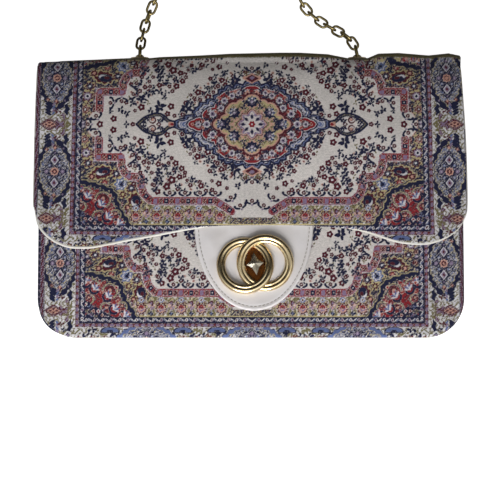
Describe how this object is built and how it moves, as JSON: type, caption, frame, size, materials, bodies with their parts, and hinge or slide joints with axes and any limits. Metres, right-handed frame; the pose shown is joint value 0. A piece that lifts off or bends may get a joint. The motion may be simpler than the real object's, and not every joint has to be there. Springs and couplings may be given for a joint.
{
  "type": "crossbody bag",
  "caption": "Slim tapestry flap bag with a leather tab, a turn lock set in interlocked rings, and a chain strap that leaves through eyelets in the top fold.",
  "frame": {"origin": "on the surface that the bag lies on, under the middle of the bag's outline, which is measured without the chain", "axes": "+X across the bag's width, +Y up the bag towards the top fold, +Z out of the front; the bag lies on its back"},
  "size_m": [0.284, 0.3215, 0.0451],
  "materials": {
    "tapestry": "woven tapestry cloth",
    "lining": "plain woven lining",
    "cream_vinyl": "smooth cream leather, satin",
    "gold_metal": "polished gold plate",
    "dark_gold_metal": "gold plate in shade",
    "pale_gold_metal": "polished pale gold plate",
    "chain_metal": "antique gold plate"
  },
  "bodies": {
    "bag": {"back_panel": "tapestry", "front_panel": "tapestry", "gusset": "tapestry", "lining": "lining", "lock_plate": "dark_gold_metal", "post_washer": "gold_metal", "eyelet_left": "gold_metal", "eyelet_right": "gold_metal", "eyelet_washer_left": "gold_metal", "eyelet_washer_right": "gold_metal", "chain_ring_left": "chain_metal", "chain_ring_right": "chain_metal", "chain_left": "chain_metal", "chain_right": "chain_metal", "chain_coil": "chain_metal"},
    "flap": {"flap_cover": "tapestry", "flap_lining": "cream_vinyl", "flap_piping": "cream_vinyl", "lock_tab": "cream_vinyl", "lock_rings": "gold_metal", "lock_backing": "gold_metal"},
    "knob": {"turn_knob": "pale_gold_metal"}
  },
  "joints": [
    {"name": "flap_hinge", "type": "hinge", "parent": "bag", "child": "flap", "pos_m": [0, 0.08417, 0.024], "axis": [-1, 0, 0], "range_deg": [0, 150]},
    {"name": "knob_turn", "type": "hinge", "parent": "bag", "child": "knob", "pos_m": [0.0043, -0.04533, 0.03615], "axis": [0, 0.127, 0.9919], "range_deg": [0, 90]}
  ]
}
